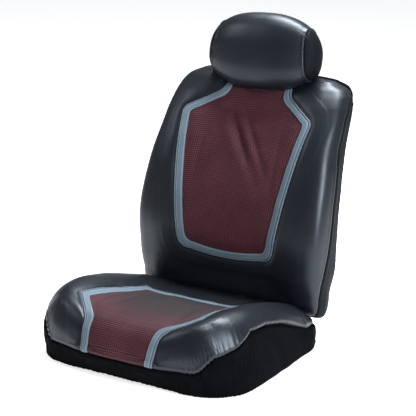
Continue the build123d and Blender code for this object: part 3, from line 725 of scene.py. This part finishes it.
def strip(name, form, shown, flat, outer, inner, node_name):
    """The grey trim between two outlines, laid on the form and kept where it shows."""
    fine_out, fine_in = [], []
    for k in range(len(outer) - 1):
        count = max(1, int(np.linalg.norm(outer[k + 1] - outer[k]) / 1.5))
        t = np.arange(count)[:, None] / count
        fine_out.append(outer[k] * (1 - t) + outer[k + 1] * t)
        fine_in.append(inner[k] * (1 - t) + inner[k + 1] * t)
    fine_out, fine_in = np.vstack(fine_out), np.vstack(fine_in)
    width = np.linalg.norm(fine_out - fine_in, axis=1)
    along = np.concatenate([[0], np.cumsum(np.linalg.norm(np.diff(fine_out, axis=0), axis=1))])
    t = np.concatenate([np.linspace(0, 0.34, 14), np.linspace(0.36, 1, 18)])
    q = fine_out[:, None] * (1 - t)[None, :, None] + fine_in[:, None] * t[None, :, None]
    p, n, far = laid_on(form, shown, flat, q.reshape(-1, 2))
    across = t[None, :] * width[:, None]
    lift = strip_height(across, along[:, None], width[:, None])
    lift += 0.5 * wave_noise(p, 55.0, 61, 7).reshape(lift.shape)
    p = p + n * (lift.ravel() + 0.2)[:, None]
    rows, cols = len(fine_out), len(t)
    r, c = np.meshgrid(np.arange(rows - 1), np.arange(cols - 1), indexing="ij")
    a = (r * cols + c).ravel()
    faces = np.stack([a, a + 1, a + cols + 1, a + cols], 1)
    on = far.reshape(rows, cols).max(axis=1) < 2.0
    keep = np.repeat(on[:-1] & on[1:], cols - 1)
    faces = faces[keep]
    tris = np.concatenate([faces[:, [0, 1, 2]], faces[:, [0, 2, 3]]])
    made = normals(p, tris)
    if (made * n).sum() < 0:
        tris = tris[:, ::-1]
    run = np.broadcast_to(along[:, None], lift.shape)
    edges = np.stack([across, run, width[:, None] - across], axis=-1).reshape(-1, 3)
    return panel(name, p, edges, tris, form.body, [node_name], GREY, 0.0012)


def laid_on(form, shown, flat, q):
    """Places on the form, with normals, of points given in its flat coordinates."""
    tris = form.tris[shown]
    cut = np.column_stack([flat, np.zeros(len(flat))])
    tree = BVHTree.FromPolygons(cut.tolist(), tris.tolist())
    top = form.p + form.n * form.lift[:, None]
    p, n, far = np.zeros((len(q), 3)), np.zeros((len(q), 3)), np.zeros(len(q))
    for k, (u, v) in enumerate(q):
        spot, _, index, distance = tree.find_nearest((u, v, 0.0))
        a, b, c = tris[index]
        m = np.array([cut[b, :2] - cut[a, :2], cut[c, :2] - cut[a, :2]]).T
        s, t = np.linalg.solve(m, np.array(spot[:2]) - cut[a, :2])
        w = np.array([1 - s - t, s, t])
        p[k] = w @ top[[a, b, c]]
        n[k] = w @ form.n[[a, b, c]]
        far[k] = distance
    return p, n / np.linalg.norm(n, axis=1)[:, None], far


def beside_trim(away, swell):
    """Lift of the panel beside the trim: a sewn valley, then padding that swells and fades."""
    return -2.0 * bump(away, 2.6) + swell * step(away / 14) * np.exp(-away / 26)


def puckers(along, away, seed, pitch, reach):
    """Gathers that stand square to a seam: ripples along it that fade away from it."""
    rng = np.random.default_rng(seed)
    phase = np.interp(along, np.arange(-900, 901, 30.0), np.cumsum(rng.uniform(0.5, 1.5, 61)) * 30.0)
    strength = np.interp(along, np.arange(-900, 901, 45.0), rng.uniform(0.1, 1.0, 41))
    return np.cos(2 * math.pi * phase / pitch) * strength * np.exp(-np.abs(away) / reach)


# ------------------------------------------------------------------ backrest

def side_offset(seam, p):
    """Distance behind a seam that runs up the side view."""
    y = np.interp(p[:, 2], seam[:, 1], seam[:, 0])
    return (p[:, 1] - y) * 0.92


def in_slot_arc(p):
    """Where the recliner brackets pass through the cover as the backrest turns."""
    y, z = p[:, 1] - PIVOT[0], p[:, 2] - PIVOT[1]
    angle = np.degrees(np.arctan2(z, y)) % 360
    return (angle > SLOT_ARC[0]) & (angle < SLOT_ARC[1]) & (np.hypot(y, z) < SLOT_R)


def build_back():
    form = Form(back_grid(), "backrest")
    outer = rounded_outline(BACK_TRIM_OUTER, BACK_BOW)
    inner = rounded_outline(BACK_TRIM_INNER, BACK_BOW)

    def facing(p):
        return side_offset(FRONT_SEAM, p) < 0

    def gusset(p):
        between = np.maximum(-side_offset(FRONT_SEAM, p), side_offset(REAR_SEAM, p))
        return np.maximum(between, p[:, 2] - SEAM_TOP_Z)

    def rear(p):
        return side_offset(REAR_SEAM, p)

    form.snap(gusset, lambda p: np.abs(p[:, 0]) > 120)
    form.snap(rear, lambda p: p[:, 2] > SEAM_TOP_Z - 2)
    form.snap(lambda p: p[:, 2] - SEAM_BOTTOM_Z, lambda p: np.abs(p[:, 0]) < FLAP_HALF_WIDTH - 8)
    for edge in SLOT_X:
        form.snap(lambda p: np.abs(p[:, 0]) - edge, in_slot_arc)
    form.n = normals(form.p, form.tris)

    p = form.p
    front = facing(p)
    d_out = outline_distance(outer, p[:, [0, 2]])
    d_in = outline_distance(inner, p[:, [0, 2]])
    g = gusset(p)
    sewn = ((np.abs(d_out) < 8) | (np.abs(d_in) < 5)) & front
    lift = inflate(form, (np.abs(g) < 9) | sewn | (p[:, 2] < 120), 7.0)

    side = np.abs(p[:, 0]) > 150
    lift -= 1.6 * bump(g, 2.0) * side
    lift += 1.1 * bump(np.abs(g) - 6.0, 4.0) * side
    near = front & (d_out < 40)
    outside = near & (d_out > 0)
    lift[outside] += beside_trim(d_out[outside], 2.4)
    within = near & (d_in < 0)
    lift[within] += 2.6 * step(-d_in[within] / 22)
    # soft diagonal folds in the mesh, from the neck down to the right
    fold = p[:, 0] + 0.72 * (p[:, 2] - 470)
    soft = within * step(-d_in / 30) * bump(p[:, 2] - 452, 62)
    for height, at, width in ((-8.5, -22, 12), (4.6, -48, 17), (-5.0, 20, 10), (2.8, 2, 8)):
        lift += soft * height * bump(fold - at, width)
    neck = 2.4 * bump(p[:, 2] - 538, 16) - 2.0 * bump(p[:, 2] - 512, 12)
    lift += within * step(-d_in / 24) * (neck + 0.8 * wave_noise(p * [1.0, 1.0, 0.6], 85.0, 13))
    # gathers along the side seams, at the shoulders and low down by the crease
    along = p[:, 2] * 1.05
    for sign, seed in ((-1, 3), (1, 4)):
        here = side & (np.sign(p[:, 0]) == sign) & (np.abs(g) < 60)
        zone = 0.25 + 1.0 * bump(p[:, 2] - 545, 45) + 0.9 * bump(p[:, 2] - 120, 60)
        lift += here * zone * puckers(along, g, seed, pitch=13.0, reach=14.0)
    low = step((150 - p[:, 2]) / 90)
    lift += low * 1.6 * wave_noise(p * [1.6, 0.7, 0.5], 90.0, 11)
    lift += 0.7 * wave_noise(p, 160.0, 12) * ~within
    # the roll turns inside the crease, so nothing stands out from it
    low = step((145 - p[:, 2]) / 25)
    form.lift = lift * (1 - low) + np.minimum(lift, -0.4) * low

    mid = p[form.tris].mean(axis=1)
    front_m = facing(mid) | (mid[:, 2] > SEAM_TOP_Z) & (rear(mid) < 0)
    out_m = outline_distance(outer, mid[:, [0, 2]])
    in_m = outline_distance(inner, mid[:, [0, 2]])
    flap_m = (mid[:, 2] < SEAM_BOTTOM_Z) & (np.abs(mid[:, 0]) < FLAP_HALF_WIDTH)
    gusset_m = (gusset(mid) < 0) & ~flap_m
    rear_m = ~flap_m & ~gusset_m & (rear(mid) > 0)
    front_m &= ~flap_m & ~gusset_m & ~rear_m
    slot = in_slot_arc(mid) & (np.abs(mid[:, 0]) > SLOT_X[0]) & (np.abs(mid[:, 0]) < SLOT_X[1])
    for chosen in (front_m, gusset_m, rear_m, flap_m):
        chosen &= ~slot
    weave = np.column_stack([p[:, 0], p[:, 2] * 1.07])
    chains = open_chain(BACK_TRIM_OUTER, BACK_BOW), open_chain(BACK_TRIM_INNER, BACK_BOW)
    return [
        piece("back_front_panel", form, front_m & (out_m > -4),
              ["back_cover_front", "back_foam"], LEATHER),
        strip("back_trim_strip", form, front_m, p[:, [0, 2]], *chains, "back_trim"),
        piece("back_mesh_insert", form, front_m & (in_m < 4), ["back_insert"], MESH,
              thick=0, split=1, relief=mesh_height, weave=weave),
        *both_sides("back_gusset_panel", form, gusset_m, mid, "back_gusset", SIDE),
        piece("back_rear_panel", form, rear_m, ["back_cover_rear"], KNIT),
        piece("back_lower_flap", form, flap_m, ["back_bottom_flap"], KNIT),
        side_tag(form, mid),
        closure_tape(form, mid),
    ]


def both_sides(name, form, where, mid, replaced, material):
    """The left-hand and the right-hand piece of a panel that is in two halves."""
    return [
        piece(f"{name}_{side}", form, where & (mid[:, 0] * sign > 0),
              [f"{replaced}_{side}"], material)
        for side, sign in (("left", -1), ("right", 1))
    ]


def closure_tape(form, mid):
    """Hook-and-loop tape along the rear of the roll."""
    angle = np.degrees(np.arctan2(mid[:, 2] - PIVOT[1], mid[:, 1] - PIVOT[0]))
    where = (angle > TAPE_ANGLES[0]) & (angle < TAPE_ANGLES[1])
    where &= (np.abs(mid[:, 0]) < TAPE_HALF_L) & (mid[:, 2] < TAPE_TOP_Z)
    return piece("back_tape", form, where, ["back_closure_tape"], WEBBING, thick=0.0010,
                 raised=1.4 + 0.3 * wave_noise(form.p, 6.0, 71, 12))


def side_tag(form, mid):
    """Small woven side tag, sewn flat on the right-hand gusset."""
    d = mid[:, 1:] - TAG_CENTRE
    c, s = math.cos(TAG_TILT), math.sin(TAG_TILT)
    along, across = d[:, 0] * s + d[:, 1] * c, d[:, 0] * c - d[:, 1] * s
    where = (np.abs(along) < TAG_HALF[1]) & (np.abs(across) < TAG_HALF[0]) & (mid[:, 0] > 150)
    return piece("back_tag", form, where, ["back_side_tag"], TAG, thick=0.0009, raised=1.3)


# ------------------------------------------------------------------ cushion

def seat_seam(p):
    """Height above the seam between the cushion's top and its skirts."""
    z = np.interp(p[:, 1], SKIRT_SEAM[:, 0], SKIRT_SEAM[:, 1])
    inner = step((SKIRT_INNER_X - np.abs(p[:, 0])) / 25)
    z = z * (1 - inner) + SKIRT_SEAM[0, 1] * inner
    return (p[:, 2] - z) * 0.9


def unrolled(p):
    """Flat coordinates of the cushion's top: across, and rearward with the nose rolled out."""
    ahead, up = NOSE[0] - p[:, 1], p[:, 2] - NOSE[1]
    turn = np.arctan2(np.maximum(ahead, 0), np.maximum(up, 0.01))
    rolled = NOSE[0] - NOSE_R * turn + np.minimum(up, 0)
    return np.column_stack([p[:, 0], np.where(ahead > 0, rolled, p[:, 1])])


def build_cushion():
    form = Form(cushion_grid(), "seat")
    form.p = push_out(settle_hem(form.p), PIVOT, ROLL_R + ROLL_CLEARANCE)
    outer = rounded_outline(SEAT_TRIM_OUTER, SEAT_BOW)
    inner = rounded_outline(SEAT_TRIM_INNER, SEAT_BOW)

    form.snap(lambda p: p[:, 2] - HEM_Z)
    form.snap(seat_seam, lambda p: p[:, 1] < REAR_FLAP_Y)
    form.snap(lambda p: p[:, 1] - REAR_FLAP_Y)
    form.snap(lambda p: np.abs(p[:, 0]) - SKIRT_INNER_X,
              lambda p: (seat_seam(p) < 0) & (p[:, 1] < 60))
    form.n = normals(form.p, form.tris)

    p = form.p
    s = seat_seam(p)
    top = (s > 0) & (p[:, 1] < REAR_FLAP_Y)
    flat = unrolled(p)
    d_out = outline_distance(outer, flat)
    d_in = outline_distance(inner, flat)
    sewn = ((np.abs(d_out) < 8) | (np.abs(d_in) < 5)) & top
    lift = inflate(form, (np.abs(s) < 9) | sewn | (p[:, 2] < 24) | (p[:, 1] > 400), 7.0)

    lift -= 2.0 * bump(s, 2.2)
    lift += 1.2 * bump(np.abs(s) - 7.0, 4.0)
    length = step((p[:, 1] - 20) / 90) * step((400 - p[:, 1]) / 160)
    lift += 9 * bump(np.abs(p[:, 0]) - 252, 34) * top * length
    near = top & (d_out < 40)
    outside = near & (d_out > 0)
    lift[outside] += beside_trim(d_out[outside], 2.2)
    within = near & (d_in < 0)
    lift[within] += 2.2 * step(-d_in[within] / 22)
    # gathers at the front corners, where the top, the band and the skirts meet
    corner = bump(np.hypot(np.abs(p[:, 0]) - 214, p[:, 1] - 2), 52)
    for sign, seed in ((-1, 21), (1, 22)):
        here = np.sign(p[:, 0]) == sign
        along = p[:, 1] * 1.2 + p[:, 0] * sign * 0.6
        lift += here * (0.2 + 3.4 * corner) * puckers(along, s, seed, pitch=12.0, reach=20.0)
    # upright slack folds in the skirts near the front, and ripples by the crease
    skirt = (s < 0) & (p[:, 1] < REAR_FLAP_Y)
    run = p[:, 1] + 0.9 * np.abs(p[:, 0])
    slack = step(-s / 25) * bump(p[:, 1] - 45, 55)
    lift += skirt * slack * 1.2 * np.cos(2 * math.pi * run / 12.5 + 1.5 * wave_noise(p, 60.0, 31))
    lift += skirt * 0.8 * wave_noise(p * [1.0, 1.0, 0.25], 46.0, 32)
    lift += skirt * 1.6 * bump(p[:, 2] - 6.0, 4.0)
    crease = step((p[:, 1] - 330) / 80)
    lift += crease * (np.abs(p[:, 0]) > 120) * 1.2 * wave_noise(p * [0.5, 1.6, 1.0], 40.0, 33)
    lift += 0.6 * wave_noise(p, 150.0, 34)
    # the rear end keeps clear of the roll as it turns
    rear = p[:, 1] > CREASE_Y
    cleared = push_out(p + form.n * lift[:, None], PIVOT, ROLL_R + CREASE_CLEARANCE)
    form.lift = np.where(rear, 0.0, lift)
    form.p = p = np.where(rear[:, None], cleared, p)

    mid = p[form.tris].mean(axis=1)
    shown = mid[:, 2] > HEM_Z
    flap_m = shown & (mid[:, 1] > REAR_FLAP_Y)
    top_m = shown & ~flap_m & (seat_seam(mid) > 0)
    low_m = shown & ~flap_m & ~top_m
    insert_m = top_m & (outline_distance(inner, unrolled(mid)) < 4)
    panel_m = top_m & (outline_distance(outer, unrolled(mid)) > -4)
    chains = open_chain(SEAT_TRIM_OUTER, SEAT_BOW), open_chain(SEAT_TRIM_INNER, SEAT_BOW)
    band_m = low_m & (np.abs(mid[:, 0]) < SKIRT_INNER_X)
    return [
        piece("seat_top_panel", form, panel_m, ["cushion_top_cover", "cushion_foam"],
              LEATHER),
        strip("seat_trim_strip", form, top_m, flat, *chains, "cushion_trim"),
        piece("seat_mesh_insert", form, insert_m, ["cushion_insert"], SEAT_MESH,
              thick=0, split=1, relief=mesh_height, weave=flat),
        piece("seat_front_band", form, band_m, ["cushion_front_band"], KNIT),
        *both_sides("seat_skirt", form, low_m & ~band_m, mid, "cushion_skirt", KNIT),
        piece("seat_rear_flap", form, flap_m, ["cushion_rear_flap"], KNIT),
    ]


# ------------------------------------------------------------------ headrest

def build_headrest():
    form = Form(head_grid(), "headrest")
    form.p = push_out(form.p, CROWN, CROWN_R)

    def gusset(p):
        return np.abs(p[:, 0]) - HEAD_GUSSET_X - 0.11 * (HEAD_Z - p[:, 2])

    def behind(p):
        y, z = p[:, 1] - HEAD_Y, p[:, 2] - HEAD_Z
        return y * math.cos(HEAD_TILT) - z * math.sin(HEAD_TILT) - HEAD_REAR_SEAM

    form.snap(gusset)
    form.snap(behind, lambda p: gusset(p) < 0)
    form.n = normals(form.p, form.tris)
    p = form.p
    g, r = gusset(p), behind(p)
    hollow = np.hypot(p[:, 1] - CROWN[0], p[:, 2] - CROWN[1]) < CROWN_R + 3
    lift = inflate(form, (np.abs(g) < 6) | ((np.abs(r) < 6) & (g < 0)) | hollow, 5.0)
    lift -= 0.9 * bump(g, 1.6)
    lift += 2.4 * bump(g + 3.5, 3.0) + 0.4 * bump(g - 5.0, 3.5)
    lift -= 1.6 * bump(r, 2.2) * (g < 0)
    angle = np.degrees(np.arctan2(p[:, 2] - HEAD_Z, p[:, 1] - HEAD_Y))
    for sign, seed in ((-1, 41), (1, 42)):
        here = np.sign(p[:, 0]) == sign
        lift += here * 2.2 * puckers(angle * 1.6, g, seed, pitch=9.0, reach=9.0)
    lift += 0.5 * wave_noise(p, 110.0, 43)
    form.lift = lift
    mid = p[form.tris].mean(axis=1)
    gusset_m = gusset(mid) > 0
    rear_m = ~gusset_m & (behind(mid) > 0)
    return [
        piece("headrest_front_panel", form, ~gusset_m & ~rear_m,
              ["headrest_cover_front", "headrest_foam"], LEATHER),
        piece("headrest_rear_panel", form, rear_m, ["headrest_cover_rear"], LEATHER),
        *both_sides("headrest_gusset_panel", form, gusset_m, mid, "headrest_gusset", SIDE),
    ]


# ------------------------------------------------------------------ straps and hardware

def straps():
    """The two woven straps under the seat, ribbed across with rounded selvedges."""
    low, high = (np.array(c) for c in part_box("underseat_straps"))
    for side, name in ((-1, "strap_left"), (1, "strap_right")):
        centre = side * STRAP_X * MM
        across = np.linspace(-1, 1, STRAP_COLUMNS)
        along = np.arange(low[1], high[1], 0.0008)
        u, v = np.meshgrid(across, along)
        rib = 0.12 * np.sin(2 * math.pi * v / 0.0032) + 0.06 * np.sin(9 * math.pi * u)
        up = (0.55 * np.sqrt(np.clip(1 - u ** 8, 0, 1)) + rib * 0.6) * MM
        x, z = centre + u * STRAP_HALF_W * MM, low[2] + 0.0004 + up
        p = np.column_stack([x.ravel(), v.ravel(), z.ravel()])
        r, c = np.meshgrid(np.arange(len(along) - 1), np.arange(STRAP_COLUMNS - 1),
                           indexing="ij")
        a = (r * STRAP_COLUMNS + c).ravel()
        b = a + STRAP_COLUMNS
        tris = np.concatenate([np.stack([a, a + 1, b + 1], 1), np.stack([a, b + 1, b], 1)])
        strap = panel(name, p / MM + ORIGIN, None, tris, "seat", ["underseat_straps"],
                      WEBBING, 0.0008)


def hardware():
    """Finishes of the CAD parts that stay as they are."""
    finish = {"black_paint": PAINT, "zinc_steel": ZINC, "post_chrome": CHROME,
              "black_plastic": PLASTIC}
    slots = {s["node"]: s["material_slot"] for s in frame["record"]["subparts"]}
    for name, obj in frame["nodes"].items():
        if slots.get(name) in finish:
            obj.data.materials.clear()
            obj.data.materials.append(finish[slots[name]])


# ------------------------------------------------------------------ camera, light and floor

CAMERA_AT = (1.685, -2.735, 1.284)
AZIMUTH, PITCH, LENS = 31.4, 16.7, 122.0
FLOOR_HALF = 12.0


def camera():
    data = bpy.data.cameras.new("camera")
    data.lens = LENS
    data.sensor_width = 36.0
    data.clip_end = 50.0
    cam = bpy.data.objects.new("camera", data)
    bpy.context.scene.collection.objects.link(cam)
    a, e = math.radians(AZIMUTH), math.radians(PITCH)
    ahead = Vector((-math.sin(a) * math.cos(e), math.cos(a) * math.cos(e), -math.sin(e)))
    cam.location = CAMERA_AT
    cam.rotation_euler = ahead.to_track_quat("-Z", "Y").to_euler()
    bpy.context.scene.camera = cam


def softbox(name, at, aim, size, power, colour):
    data = bpy.data.lights.new(name, "AREA")
    data.shape = "RECTANGLE"
    data.size, data.size_y = size
    data.energy = power
    data.color = colour
    lamp = bpy.data.objects.new(name, data)
    bpy.context.scene.collection.objects.link(lamp)
    lamp.location = at
    lamp.rotation_euler = (Vector(aim) - Vector(at)).to_track_quat("-Z", "Y").to_euler()


def studio():
    mesh = bpy.data.meshes.new("floor")
    s = FLOOR_HALF
    mesh.from_pydata([(-s, -s, 0), (s, -s, 0), (s, s, 0), (-s, s, 0)], [], [(0, 1, 2, 3)])
    floor = bpy.data.objects.new("floor", mesh)
    bpy.context.scene.collection.objects.link(floor)
    mat = bpy.data.materials.new("floor")
    mat.use_nodes = True
    finish = {"Base Color": (0.86, 0.86, 0.86, 1), "Emission Color": (1, 1, 1, 1),
              "Emission Strength": 0.72, "Roughness": 0.9, "Specular IOR Level": 0.1}
    for name, value in finish.items():
        mat.node_tree.nodes["Principled BSDF"].inputs[name].default_value = value
    mesh.materials.append(mat)
    world = bpy.data.worlds.new("studio")
    bpy.context.scene.world = world
    world.use_nodes = True
    sky = world.node_tree.nodes["Background"].inputs
    sky["Color"].default_value, sky["Strength"].default_value = (0.93, 0.96, 1.0, 1), 0.22
    aim, cool = (0, 0.1, 0.4), (0.88, 0.94, 1.0)
    softbox("overhead", (0.1, 0.9, 2.4), aim, (1.5, 0.8), 130, cool)
    softbox("right_strip", (2.2, -0.80, 1.35), (0, 0.1, 0.55), (0.24, 1.3), 85, cool)
    softbox("left_fill", (-1.9, -0.9, 2.3), aim, (0.9, 0.9), 16, (0.90, 0.95, 1.0))
    bpy.context.scene.view_settings.view_transform = "Standard"


camera()
studio()
hardware()
for soft in build_back() + build_cushion() + build_headrest():
    if soft.name == "back_tag":
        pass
    elif soft.name == "back_tape":
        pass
    else:
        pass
straps()

bpy.context.view_layer.update()
